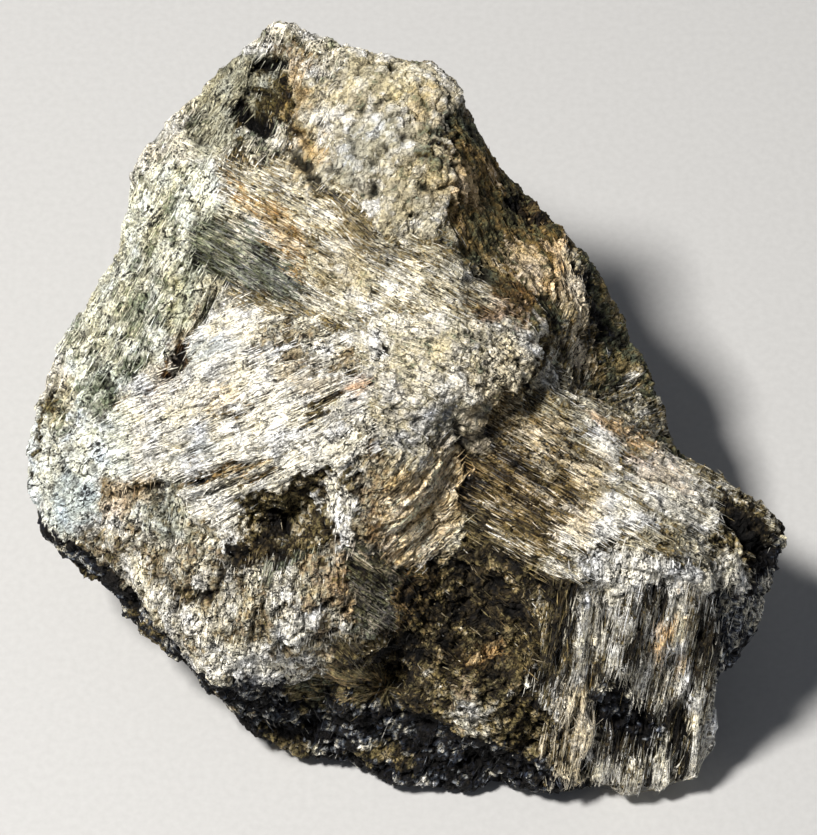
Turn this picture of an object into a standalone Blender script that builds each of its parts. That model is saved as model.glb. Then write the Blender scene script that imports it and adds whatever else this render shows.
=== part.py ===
"""A hand specimen of massive chrysotile, one solid piece of fibrous serpentine rock.

The stone lies on a flat fracture. Its broad fibrous face looks up and to the front (-Y), leaning
back by FACE_TILT. The face is described like a piece of ground: an outline, the ridges and
creases that run across it, and spot heights between them. The hidden side is described in the
same way, down to the flat base. Both are triangulated, joined at the outline, remeshed, given
the relief of lumps and fibre bundles, and cut level at the base.

Face places are (u, v, w) in millimetres: u to the right, v up the face, w out of the face.
Places on the hidden side are (x, y, z) in millimetres in the stone's own frame, +Z up, with the
origin in the middle of the base.
"""

import math

import bmesh
import bpy
from mathutils import Matrix, Vector, geometry, noise

MM = 0.001
FACE_TILT = math.radians(35)  # lean of the broad face, back from level
FACE_LIFT = 50.8  # height of the face's own origin above the base
BASE_SINK = 3.5  # the rough underside starts this far below the level cut

VOXEL = 1.2  # mesh pitch while the relief is given
SOFTENING = 0.35  # how far each pass rounds the edges between facets
SOFTENING_PASSES = 2
TRIANGLES = 9300  # of the finished solid, before the base is cut

# The girth of the stone, clockwise from the peak.
OUTLINE = [
    (-20, 65.5, -12), (-17, 64.5, -12), (-12.5, 62, -11), (5, 56.5, -8), (8, 53, -8),
    (8.5, 50.5, -9), (17.5, 38.5, -15), (20, 36.5, -16), (24, 31, -16), (28.5, 28, -15),
    (32.5, 22.5, -18), (33.5, 19, -20), (36, 16, -20), (37.5, 11.5, -20), (39.5, 9, -20),
    (41.5, 3, -20), (44, -1, -20), (46, -6.5, -10), (50.5, -9, -9), (60.5, -17.5, -8),
    (62, -20.5, -8), (61, -25.5, -10), (58.5, -26.5, -11), (58.5, -30.5, -12), (57.5, -36, -14),
    (55, -37, -13), (53.5, -40.5, -14), (50.5, -42.5, -13), (50, -46.5, -13), (48.5, -56, -14),
    (47.5, -60, -14), (38.5, -61, -15), (28.5, -60.5, -15), (26, -62.5, -14), (20.5, -60.5, -15),
    (13.5, -59.5, -16), (10, -61.5, -16), (-1.5, -60.5, -16), (-7.5, -59, -17), (-9, -57, -18),
    (-13.5, -57.5, -18), (-22, -54.5, -19), (-24.5, -52.5, -18), (-27, -51.5, -18),
    (-31, -46, -16), (-39.5, -38, -15), (-44, -35, -15), (-47, -32, -15), (-48, -29, -14),
    (-51.5, -24.5, -14), (-55.5, -23.5, -15), (-59, -20, -15), (-60, -16.5, -14),
    (-63, -12, -14), (-62.5, -5, -13), (-63, -2, -13), (-62.5, 2.5, -13), (-58, 12.5, -12),
    (-53, 19, -11), (-47.5, 30, -11), (-46.5, 35.5, -11), (-42, 45, -13), (-38, 51, -13),
    (-34, 53.5, -13), (-31.5, 56.5, -13), (-30, 60, -13), (-26.5, 61.5, -13),
]

# Edges, ledges and creases that stay sharp across the face.
BREAK_LINES = {
    "brow": [
        (-56.5, -18, -6), (-52, -20, -3), (-49.5, -23, -3), (-46.5, -26.5, -3), (-42, -28, 1),
        (-41, -33.5, 0), (-36.5, -36, 0), (-34, -39.5, -2), (-31.5, -42.5, -2), (-26, -43, 1),
        (-21.5, -41.5, 4), (-17.5, -38.5, 6), (-12.5, -37.5, 5),
    ],
    "under_brow": [
        (-30, -45, -11), (-26.5, -46, -12), (-21, -44.5, -11), (-16, -42, -10), (-12.5, -42.5, -9),
    ],
    "lower_ledge": [
        (-10, -47.5, -5), (-5, -49, -6), (-1.5, -47.5, -4), (2.5, -47.5, -3), (6, -48, -2),
        (7.5, -51, -5), (10.5, -50.5, -4), (15.5, -53, -6), (20, -56, -9),
    ],
    "under_ledge": [
        (-9.5, -52.5, -13), (-4.5, -53, -13), (-0.5, -51, -12), (3, -51, -11), (6, -52.5, -11),
        (9, -54.5, -12), (12, -54, -12), (16.5, -56.5, -13), (20, -58, -14),
    ],
    "fibre_block_top": [
        (22.5, -24, 18), (24, -21.5, 18), (29.5, -19, 19), (33, -19.5, 18), (38.5, -20.5, 17),
        (42, -22, 15), (44.5, -24.5, 13), (49.5, -26.5, 8), (53.5, -25, 4),
    ],
    "fibre_block_foot": [
        (23, -59.5, -12), (26.5, -60.5, -11), (31, -58.5, -12), (38, -59.5, -13), (46, -59, -12),
    ],
    "fibre_block_left": [
        (21.5, -28.5, 14), (21.5, -35.5, 8), (22, -43.5, 0), (22.5, -52, -6), (22.5, -56.5, -9),
    ],
    "fibre_block_left_foot": [
        (20, -31, 5), (20, -36.5, 0), (20.5, -44, -4), (21, -51.5, -10),
    ],
    "fibre_block_right": [(50, -29, 5), (49.5, -35.5, 0), (48, -44, -5), (47.5, -52.5, -9)],
    "overhang": [(9, -14.5, 13), (13, -20, 13), (17.5, -23.5, 14), (20.5, -25.5, 15)],
    "under_overhang": [(8.5, -18.5, 8), (12.5, -23.5, 5), (16.5, -26.5, 4), (20, -28.5, 4)],
    "crease": [
        (22, 15, 3), (21, 10.5, 4), (21, 6.5, 4), (19, 2.5, 5), (15.5, -1.5, 7), (11.5, -4.5, 8),
        (8, -6, 9), (8, -10.5, 9),
    ],
    "lobe_rim": [
        (-9, 15.5, 12), (-4.5, 18.5, 14), (2, 19, 14), (9, 18.5, 13), (15.5, 17, 11),
        (19, 13.5, 11), (19.5, 7.5, 12), (17.5, 4, 12), (13, 1, 14), (6.5, 0, 15), (2.5, -2.5, 17),
    ],
    "crest": [(8, 47.5, -4), (7, 42.5, 3), (6.5, 36, 5), (6, 29.5, 8), (7.5, 24, 10)],
    "right_spur": [(28.5, 26, -11), (29.5, 20.5, -8), (27, 14, -4), (24.5, 9, 0), (23.5, 5, 3)],
    "behind_spur": [(31.5, 21.5, -16), (32, 17.5, -16), (30, 11.5, -12), (28.5, 7.5, -8)],
    "shoulder": [
        (26.5, 4, 2), (30.5, 1.5, 1), (35.5, -1.5, -1), (39.5, -3.5, -4), (44, -5.5, -8),
    ],
    "behind_shoulder": [(31, 4, -9), (35.5, 1.5, -14), (40, -1.5, -17), (43.5, -4, -18)],
    "left_ridge": [
        (-39, 46, -6), (-36, 40, -2), (-33.5, 34.5, 1), (-34, 29, 2), (-33.5, 24.5, 2),
    ],
    "crevice": [(-31, 19, -1), (-32.5, 16, -2), (-34.5, 12, -1), (-37, 9, 0), (-39, 6, 2)],
    "crevice_lip": [(-29, 18, 5), (-30.5, 14.5, 8), (-32.5, 11, 9), (-35, 8, 8)],
    "broken_rim": [
        (-25.5, -11.5, 17), (-19.5, -9, 20), (-14.5, -8, 22), (-11, -10, 22), (-11, -15.5, 19),
        (-13.5, -20, 16), (-19.5, -21.5, 14), (-25.5, -20.5, 14),
    ],
    "top_trench": [(-21.5, 58, -12), (-23, 55, -12), (-24.5, 51.5, -11), (-27, 47.5, -8)],
}

# Heights between the lines, one list for each facet of the face.
SPOT_HEIGHTS = {
    "peak": [(-20, 62.5, -8), (-25, 59.5, -6), (-17.5, 59, -5), (-27, 53.5, -4), (-19.5, 55, -3)],
    "upper_plate": [
        (-13.5, 55.5, -3), (-9.5, 58, -5), (-1.5, 54, 0), (5, 52.5, -1), (-11, 47.5, 3),
        (-3, 42.5, 7), (3.5, 45.5, 4), (-17.5, 49, -1), (-1.5, 31, 10), (-9, 34.5, 7),
        (-17, 41, 2), (-23.5, 43, -1), (-28.5, 46, -4), (3.5, 26.5, 11), (-6, 26.5, 10),
        (-14, 29.5, 7), (2, 37.5, 9),
    ],
    "hollow_behind_crest": [
        (11.5, 41.5, -5), (10, 34, -1), (15.5, 35, -8), (11.5, 27.5, 1), (18, 29.5, -8),
        (14.5, 23, 3), (22.5, 28, -10), (19.5, 23.5, -3), (16.5, 19, 5), (24.5, 22, -6),
        (22, 18, 0),
    ],
    "spur_facet": [(34.5, 11, -18), (32, 6, -12), (38, 3.5, -18)],
    "left_flank": [
        (-41.5, 36.5, -5), (-43, 28.5, -4), (-39.5, 20.5, 0), (-48, 19, -6), (-48, 11, -4),
        (-54, 11, -7), (-53, 2.5, -4), (-41, 12.5, 2), (-58, -0.5, -7), (-45, 4.5, 1),
        (-34, 20, 3), (-58.5, -7, -8), (-59.5, -12, -9),
    ],
    "fibre_sweep": [
        (-29.5, 30.5, 0), (-25, 32, 2), (-27.5, 25, 1), (-19, 25, 5), (-23.5, 20, 5),
        (-12.5, 18.5, 11), (-18.5, 17, 9), (-30, 41, -1), (-25, 13.5, 11),
    ],
    "left_slope": [
        (-26.5, 7.5, 14), (-17, 10.5, 15), (-17, 2.5, 20), (-12, -3.5, 23), (-23, -2, 17),
        (-33, 1, 11), (-33, -6, 11), (-42.5, -0.5, 4), (-44, -8.5, 4), (-54.5, -5.5, -4),
        (-53.5, -12.5, -3), (-6, 6, 20), (-7.5, -0.5, 22),
    ],
    "lobe": [
        (-1, 12, 20), (5, 12, 21), (11, 12, 18), (3.5, 5, 21), (11, 6, 18), (15, 9.5, 15),
        (-3, 1, 20),
    ],
    "broken_hollow": [(-23, -16.5, 6), (-19.5, -15.5, 4), (-16, -14, 5), (-16.5, -18, 8)],
    "lower_lobe": [
        (-32, -16, 12), (-41, -19.5, 6), (-47.5, -17.5, 1), (-33, -25.5, 11), (-25, -29, 13),
        (-17, -28.5, 14), (-10, -24.5, 16), (-36, -32, 6), (-25, -37, 10), (-18, -34.5, 11),
        (-11.5, -33, 10), (-28.5, -40, 5), (-6.5, -13, 21), (-4.5, -6.5, 22),
    ],
    "fold": [
        (-1, -10, 20), (2.5, -6.5, 18), (-1.5, -16, 17), (4, -13, 13), (5, -18, 11),
        (-3, -22.5, 14), (2.5, -22.5, 10),
    ],
    "deep_hollow": [
        (3.5, -27.5, 7), (9.5, -29.5, 1), (14.5, -35.5, 0), (6, -35.5, 3), (0.5, -32, 7),
        (-4.5, -31, 10), (-7.5, -35.5, 6), (-3, -39.5, -9), (-3.5, -44, -8), (-9.5, -42, 1),
        (1.5, -38, 1), (2, -43.5, 0), (6.5, -40.5, 2), (14, -37, -3), (11.5, -40, 4),
        (17, -40.5, 2), (11.5, -45, 2), (5, -44.5, 1), (17, -47.5, 0),
    ],
    "shoulder_top": [
        (24, -2, 7), (30.5, -7, 7), (21, -8.5, 10), (16, -10, 10), (25.5, -14.5, 14),
        (33.5, -13, 14), (38.5, -8.5, 4), (45, -11.5, 3), (39.5, -16, 12), (50, -16.5, 2),
        (48.5, -21, 7), (55.5, -16.5, -6), (58, -18.5, -7), (54, -19, -2), (56.5, -22, -2),
        (35.5, -5.5, 3),
    ],
    "fibre_block": [
        (27, -32, 12), (36.5, -30.5, 11), (44.5, -32, 8), (30.5, -42, 3), (38.5, -42, 1),
        (34, -50.5, -7), (41, -52.5, -9), (27.5, -50.5, -4), (28.5, -55.5, -8),
    ],
    "jagged_side": [(53.5, -29.5, -1), (55.5, -33.5, -7), (52.5, -37.5, -7), (57, -28, -6)],
    "foot_wall": [
        (-24, -48, -14), (-17.5, -49.5, -15), (-10.5, -54.5, -15), (-17.5, -53, -16),
        (2, -56.5, -14), (10, -58, -14),
    ],
}

# The hidden side, in the stone's own frame: the rim of the base, then the facets above it.
BASE_RIM = [
    (-10, -30), (12, -34), (32, -34), (42, -31), (46, -14), (38, 8), (26, 30), (4, 43), (-20, 45),
    (-37, 28), (-40, 4), (-27, -14), (-17, -26),
]
HIDDEN_SIDE = {
    "behind_peak": [(-21, 58, 67), (-14, 60, 54), (-2, 56, 58), (8, 50, 60)],
    "back_wall": [(-12, 58, 40), (-26, 56, 44), (-31, 50, 58), (-6, 50, 22), (-24, 52, 24)],
    "right_back": [(10, 52, 42), (22, 42, 40), (14, 46, 22), (35, 24, 24), (30, 32, 12), (26, 36, 52)],
    "left_back": [(-44, 28, 32), (-38, 38, 48), (-52, 6, 18), (-46, 18, 12), (-53, 14, 38)],
    "right_end": [(52, -8, 14), (48, -20, 8), (44, 4, 30)],
}

# Bundles of fibre that stand up as flutes: the middle and half size of each area on the face,
# the way its fibres run in degrees from +u, and the width and depth of its flutes.
FLUTES = {
    "fibre_block": {"at": (36, -42), "half": (16, 24), "angle": 81, "width": 3.4, "depth": 0.9},
    "shoulder_top": {"at": (36, -10), "half": (26, 14), "angle": -29, "width": 3.4, "depth": 0.7},
    "fibre_sweep": {"at": (-14, 24), "half": (24, 13), "angle": -27, "width": 3.6, "depth": 0.7},
    "left_slope": {"at": (-24, -1), "half": (26, 12), "angle": 23, "width": 4.0, "depth": 0.8},
    "left_flank": {"at": (-44, 16), "half": (12, 22), "angle": 62, "width": 4.0, "depth": 0.5},
    "spur_facet": {"at": (36, 8), "half": (8, 16), "angle": 25, "width": 3.4, "depth": 0.7},
}
FLUTE_LENGTH = 26  # a flute fades along its fibres over about this length
LUMP_SIZE = 15  # the broad swells that cover the whole stone
LUMP_HEIGHT = 0.9
CHIP_SIZE = 6.5  # the hackly chips between them, each a small tilted flat
CHIP_TILT = 0.3

NOISE_SEED = 7

FACE = Matrix.Translation((0, 0, FACE_LIFT)) @ Matrix.Rotation(FACE_TILT, 4, "X")


def clear_scene():
    for old in list(bpy.data.objects):
        bpy.data.objects.remove(old)


def triangulate(ring, lines, spots):
    """Triangles over the ring that keep every line as an edge, seen straight onto the face."""
    places = list(ring)
    edges = []
    for line in lines:
        edges += [(len(places) + i, len(places) + i + 1) for i in range(len(line) - 1)]
        places += line
    places += spots
    flat = [Vector(place[:2]) for place in places]
    rim = [list(range(len(ring)))]
    inside_rim = 1
    made = geometry.delaunay_2d_cdt(flat, edges, rim, inside_rim, 1e-4)
    sources = made[3]
    return places, [[sources[corner][0] for corner in face] for face in made[2]]


def add_side(shell, rim, places, triangles):
    """Adds one side of the stone; its first corners are the rim that both sides share.

    A triangle that both sides have would be a flap of no thickness, so neither keeps it.
    """
    corners = list(rim) + [shell.verts.new(place) for place in places[len(rim):]]
    for triangle in triangles:
        around = [corners[i] for i in triangle]
        flap = shell.faces.get(around)
        if flap:
            shell.faces.remove(flap)
        else:
            shell.faces.new(around)


def hidden_places():
    """The base rim and the hidden facets, as places of the face's frame."""
    to_face = FACE.inverted()
    rim = [tuple(to_face @ Vector((x, y, -BASE_SINK))) for x, y in BASE_RIM]
    spots = [tuple(to_face @ Vector(p)) for facet in HIDDEN_SIDE.values() for p in facet]
    return rim + rim[:1], spots


def block_out():
    """The closed, sharp-edged block: the fibrous face and the hidden side, meeting at the outline."""
    shell = bmesh.new()
    rim = [shell.verts.new(place) for place in OUTLINE]
    spots = [place for facet in SPOT_HEIGHTS.values() for place in facet]
    add_side(shell, rim, *triangulate(OUTLINE, list(BREAK_LINES.values()), spots))
    base_rim, back_spots = hidden_places()
    add_side(shell, rim, *triangulate(OUTLINE, [base_rim], back_spots))
    bmesh.ops.recalc_face_normals(shell, faces=shell.faces)
    return shell


def evaluated(mesh, kind, **settings):
    """The mesh as one modifier of that kind leaves it."""
    holder = bpy.data.objects.new("holder", mesh)
    bpy.context.scene.collection.objects.link(holder)
    modifier = holder.modifiers.new(kind.title(), kind)
    for name, value in settings.items():
        setattr(modifier, name, value)
    graph = bpy.context.evaluated_depsgraph_get()
    done = bpy.data.meshes.new_from_object(holder.evaluated_get(graph))
    bpy.data.objects.remove(holder)
    return done


def soft_mask(area, place):
    """1 in the middle of an area of the face, falling to 0 at its edge."""
    across = (place.x - area["at"][0]) / area["half"][0]
    up = (place.y - area["at"][1]) / area["half"][1]
    return max(0.0, 1 - (across * across + up * up) ** 2)


def flute_height(area, place):
    """Long ridges along the fibres of one area, as noise stretched along them."""
    turn = math.radians(area["angle"])
    along = place.x * math.cos(turn) + place.y * math.sin(turn)
    across = place.y * math.cos(turn) - place.x * math.sin(turn)
    spot = Vector((along / FLUTE_LENGTH, across / area["width"], place.z / FLUTE_LENGTH))
    return area["depth"] * 2 * noise.noise(spot)


def chip_height(place):
    """Small flats that each tilt their own way, with a step where two of them meet."""
    middle = noise.voronoi(place / CHIP_SIZE)[1][0]
    lean = noise.noise_vector(middle * CHIP_SIZE) * CHIP_TILT
    return (place - middle * CHIP_SIZE).dot(lean)


def relief(place, facing):
    """Height in millimetres that the rock stands proud of its flat facets."""
    height = LUMP_HEIGHT * 2 * noise.noise(place / LUMP_SIZE) + chip_height(place)
    if facing.z > 0:
        for area in FLUTES.values():
            mask = soft_mask(area, place)
            if mask > 0:
                height += mask * flute_height(area, place)
    return height


def roughen(mesh):
    """Rounds the facet edges a little and moves every point out or in by the relief."""
    rock = bmesh.new()
    rock.from_mesh(mesh)
    for _ in range(SOFTENING_PASSES):
        bmesh.ops.smooth_vert(
            rock, verts=rock.verts, factor=SOFTENING, use_axis_x=True, use_axis_y=True, use_axis_z=True
        )
    rock.normal_update()
    moves = [vert.normal * relief(vert.co, vert.normal) for vert in rock.verts]
    for vert, move in zip(rock.verts, moves):
        vert.co += move
    rock.to_mesh(mesh)
    rock.free()


def cut_base(mesh):
    """Turns the stone from its face's frame to its own, in metres, and cuts it level at z = 0."""
    rock = bmesh.new()
    rock.from_mesh(mesh)
    rock.transform(Matrix.Scale(MM, 4) @ FACE)
    everything = rock.verts[:] + rock.edges[:] + rock.faces[:]
    cut = bmesh.ops.bisect_plane(
        rock, geom=everything, dist=1e-7, plane_co=(0, 0, 0), plane_no=(0, 0, 1), clear_inner=True
    )
    for item in cut["geom_cut"]:
        if isinstance(item, bmesh.types.BMVert):
            item.co.z = 0
    bmesh.ops.holes_fill(rock, edges=[edge for edge in rock.edges if edge.is_boundary], sides=0)
    bmesh.ops.triangulate(rock, faces=rock.faces)
    rock.to_mesh(mesh)
    rock.free()


def rock_material():
    material = bpy.data.materials.new("fibrous_serpentine")
    material.use_nodes = True
    shader = material.node_tree.nodes["Principled BSDF"]
    shader.inputs["Base Color"].default_value = (0.42, 0.38, 0.29, 1)
    shader.inputs["Roughness"].default_value = 0.62
    shader.inputs["Metallic"].default_value = 0
    return material


def build():
    clear_scene()
    noise.seed_set(NOISE_SEED)
    shell = block_out()
    block = bpy.data.meshes.new("block")
    shell.to_mesh(block)
    shell.free()
    even = evaluated(block, "REMESH", mode="VOXEL", voxel_size=VOXEL)
    roughen(even)
    clean = evaluated(even, "REMESH", mode="VOXEL", voxel_size=VOXEL)
    clean.calc_loop_triangles()
    stone = evaluated(clean, "DECIMATE", ratio=TRIANGLES / len(clean.loop_triangles))
    cut_base(stone)
    stone.name = "chrysotile"
    stone.materials.clear()
    stone.materials.append(rock_material())
    specimen = bpy.data.collections.new("chrysotile_specimen")
    bpy.context.scene.collection.children.link(specimen)
    specimen.objects.link(bpy.data.objects.new("chrysotile", stone))


build()
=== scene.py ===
import math

import bmesh
import bpy
import numpy as np
from mathutils import Matrix, Vector, noise
from mathutils.bvhtree import BVHTree


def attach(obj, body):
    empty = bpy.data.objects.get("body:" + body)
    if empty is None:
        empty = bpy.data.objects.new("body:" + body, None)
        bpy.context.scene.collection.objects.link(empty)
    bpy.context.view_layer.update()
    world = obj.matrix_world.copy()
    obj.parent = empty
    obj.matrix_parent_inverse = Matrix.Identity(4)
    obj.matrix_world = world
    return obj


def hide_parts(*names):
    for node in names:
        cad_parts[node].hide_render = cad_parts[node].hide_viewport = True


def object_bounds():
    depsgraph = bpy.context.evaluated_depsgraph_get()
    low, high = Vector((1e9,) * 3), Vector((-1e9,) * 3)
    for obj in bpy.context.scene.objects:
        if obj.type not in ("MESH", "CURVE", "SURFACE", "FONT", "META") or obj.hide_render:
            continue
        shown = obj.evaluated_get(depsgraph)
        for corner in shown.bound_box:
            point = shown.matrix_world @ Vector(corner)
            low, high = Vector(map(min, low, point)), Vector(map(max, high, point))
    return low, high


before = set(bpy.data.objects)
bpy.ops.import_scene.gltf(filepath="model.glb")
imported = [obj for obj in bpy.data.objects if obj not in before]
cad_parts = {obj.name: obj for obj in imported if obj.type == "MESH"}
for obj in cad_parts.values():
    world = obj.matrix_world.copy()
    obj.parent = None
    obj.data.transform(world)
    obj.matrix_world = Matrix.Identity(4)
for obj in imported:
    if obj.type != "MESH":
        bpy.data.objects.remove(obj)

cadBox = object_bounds()
mm = 0.001
noise.seed_set(11)  # noise vectors start from the clock unless they are seeded

# The broad fibrous face leans back from level. Places on it are (u, v, w) in millimetres:
# u to the right, v up the face, w out of it.
faceLean = math.radians(35)
faceLift = 0.0508
faceFrame = Matrix.Translation((0, 0, faceLift)) @ Matrix.Rotation(faceLean, 4, "X")
faceTurn = np.array(faceFrame.to_3x3())


def toFace(points):
    return (np.asarray(points) - (0, 0, faceLift)) @ faceTurn / mm


# Colours of the rock by daylight, sRGB, except slate and navy blue, which are partly a painted
# blue reflection; speck is the dark serpentine between the grains.
tints = {
    "white": "fbf8ee", "chalk": "e6e0d0", "cream": "d2c9ae", "bone": "b3aa92",
    "silver": "aaa695", "grey": "7f7d75", "steel": "5f636a", "beige": "b1a385",
    "pinkTan": "a08d74", "tan": "918058", "khaki": "786d4a", "honey": "a0855a",
    "amber": "ad8c58", "rust": "634d38", "umber": "433926", "bark": "2a2419",
    "black": "0e0c0b", "sage": "989c86", "moss": "666a54", "olive": "464433",
    "slate": "343b46", "navy": "191c26", "haze": "8e9297", "speck": "1d1a18",
}


def linear(hexName):
    # sRGB hex to linear
    parts = [int(hexName[i:i + 2], 16) / 255 for i in (0, 2, 4)]
    return [c / 12.92 if c <= 0.04045 else ((c + 0.055) / 1.055) ** 2.4 for c in parts]


shades = {name: np.array(linear(value)) for name, value in tints.items()}

# Kinds of surface: the colours it is made of, a number after a star for how much there is of
# one; then its traits: how silky, knobbly, pitted and gritty it is, and how long its splinters
# are beside the usual.
traits = ("silky", "knob", "pit", "grit", "long")
kinds = {
    "whiteFibre": ("white*36 chalk*3 cream silver honey khaki umber*2 black*5",
                   0.8, 0.2, 1.0, 0.6, 1.0),
    "silverFibre": ("white*4 chalk*4 cream*3 silver*4 grey*2 tan*4 khaki*2 umber*3 bark*2 black",
                    0.9, 0.1, 0.5, 0.7, 0.8),
    "steelFibre": ("chalk silver*2 sage*3 grey*2 moss*3 steel olive bark*2 black*3",
                   0.9, 0.1, 0.4, 0.7, 0.9),
    "tanFibre": ("white chalk silver*2 beige*2 tan*4 khaki*3 umber*5 bark*4 black*3",
                 0.95, 0.1, 0.4, 0.8, 1.0),
    "foldFibre": ("white*8 chalk*7 cream*6 beige*5 tan*3 khaki umber bark",
                  0.72, 0.1, 0.4, 0.65, 0.8),
    "columnFibre": ("white*12 chalk*5 silver*2 tan*2 khaki umber*2 bark*3 black*4",
                    1.0, 0.0, 0.3, 0.7, 2.2),
    "columnShade": ("white*2 silver*2 khaki umber*3 bark*4 black*8", 0.9, 0.1, 0.8, 0.9, 2.0),
    "greenRock": ("white*9 chalk*5 silver*3 sage*4 moss*2 olive black*3",
                  0.48, 0.3, 0.7, 0.8, 0.9),
    "creamKnobs": ("white*3 chalk*5 cream*7 bone*6 sage*4 khaki*3 umber*2 black",
                   0.0, 1.0, 0.6, 0.5, 0.5),
    "paleLobe": ("white*6 chalk*7 cream*6 sage*4 moss khaki*2 black", 0.4, 0.5, 0.5, 0.6, 0.7),
    "beigeGrain": ("white*3 chalk*4 silver*3 beige*3 pinkTan*3 khaki*2 umber*3 black*2",
                   0.4, 0.3, 0.8, 0.85, 0.6),
    "paleGrain": ("white*7 chalk*5 silver*3 beige*3 pinkTan*2 khaki*2 umber*2 black*2",
                  0.4, 0.3, 0.8, 0.85, 0.6),
    "duskGrain": ("chalk silver*2 beige*2 tan*2 khaki*3 umber*4 bark*3 black*3",
                  0.2, 0.5, 1.0, 1.0, 0.6),
    # Partly umber and brown rock, partly painted shade: its many blacks stand for the shade in
    # hollows.
    "umberShadeHollow": ("chalk beige*3 honey tan*2 khaki*2 umber*4 bark*3 black*7",
                    0.4, 0.3, 0.9, 0.9, 0.7),
    # This hollow kind is mostly black: painted shade in the deep hollows, pits and slots.
    "shadowHollow": ("chalk beige tan khaki*2 umber*3 bark*3 black*8", 0.3, 0.6, 1.0, 1.0, 0.7),
    "oliveRock": ("chalk beige*2 tan*2 khaki*3 moss*3 olive*3 bark*2 black",
                  0.45, 0.25, 0.4, 0.6, 0.8),
    # The under-walls and the shaded side: mostly painted shade, with a painted blue reflection in
    # their slate and navy and painted lit specks in their whites.
    "shadedSlateWall": ("white*2 chalk*2 silver*2 haze*2 slate*3 navy*3 bark*2 black*17",
                  0.3, 0.4, 1.0, 1.0, 0.8),
    "shadedSlateSide": ("white*3 chalk*2 silver*2 haze*2 slate*2 navy*3 black*8",
                  0.5, 0.5, 1.0, 1.0, 0.9),
    "hazePatch": ("white*2 chalk*3 haze*6 silver*4", 0.4, 0.1, 0.2, 0.45, 0.7),
    "honeyTuft": ("white chalk*3 cream*4 honey*4 amber tan*3 umber*2 bark",
                  0.9, 0.2, 0.4, 0.8, 0.9),
    "goldFan": ("honey khaki*4 tan*2 umber*4 bark*3 black*2", 1.0, 0.1, 0.3, 0.6, 1.0),
    "rustStain": ("honey tan rust*4 umber*3 bark*3", 0.5, 0.4, 0.7, 0.9, 0.8),
    "whiteCrust": ("white*16 chalk*4 cream silver olive umber black*2", 0.4, 0.4, 0.5, 0.7, 0.8),
}
kindNames = list(kinds)

# The face's regions: kind, middle and half sizes of an ellipse in mm, the way its first half
# size points and the way its strands run, in degrees from +u, or the point they fan out from.
regions = {
    "leftFlank": ("greenRock", (-42, 22), (21, 9), 66, 62),
    "leftFoot": ("greenRock", (-52, 6), (12, 7), 60, 58),
    "leftTip": ("whiteCrust", (-56, -8), (11, 8), 65, 40),
    "peak": ("greenRock", (-20, 59), (8, 6), 0, 70),
    "peakSlope": ("greenRock", (-31, 47), (8, 5), 50, 60),
    "peakTrench": ("umberShadeHollow", (-24, 50), (9, 4), 65, 75),
    "upperPlate": ("creamKnobs", (-4, 45), (19, 13), 85, 50),
    "crestHollow": ("oliveRock", (15, 33), (18, 7), -58, -60),
    "spur": ("silverFibre", (27, 18), (13, 3.5), -75, 65),
    "farRight": ("oliveRock", (37, 6), (15, 5), -55, 25),
    "fibreSweep": ("silverFibre", (-12, 26), (28, 9), -27, -28),
    "lobe": ("paleLobe", (6, 9), (15, 10), -12, -25),
    "leftSlope": ("whiteFibre", (-29, 0), (25, 11), 15, 25),
    "fold": ("foldFibre", (3, -14), (10, 6), 50, 45),
    "innerShoulder": ("tanFibre", (19, -12), (12, 9), -40, -30),
    "brokenHollow": ("duskGrain", (-20, -18), (8, 5), 15, 80),
    "lowerLobe": ("paleGrain", (-35, -25), (19, 12), -38, 80),
    "lowerLobeRight": ("beigeGrain", (-18, -29), (10, 9), 0, 86),
    "smallFan": ("steelFibre", (-5, -27), (7, 5.5), -35, -35),
    "deepHollow": ("umberShadeHollow", (8, -33), (13, 9), -25, -45),
    "ledge": ("duskGrain", (9, -47), (13, 5), -18, -20),
    "leftUnderWall": ("shadedSlateWall", (-55, -21.5), (8, 3), -35, -50),
    "midUnderWall": ("shadedSlateWall", (-42, -36), (12, 3), -42, -50),
    "underWall": ("shadedSlateWall", (-22, -50), (13, 5), -22, -60),
    "footWall": ("shadedSlateWall", (4, -57), (18, 4), -4, -70),
    "shoulder": ("silverFibre", (33, -9), (24, 9), -28, -29),
    "shoulderEnd": ("silverFibre", (48, -14), (10, 5), -28, -28),
    "fibreColumn": ("columnFibre", (35, -41.6), (19, 14), 86, 81),
    "jaggedSide": ("shadedSlateSide", (55, -34), (9, 4), 75, 78),
}

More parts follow.
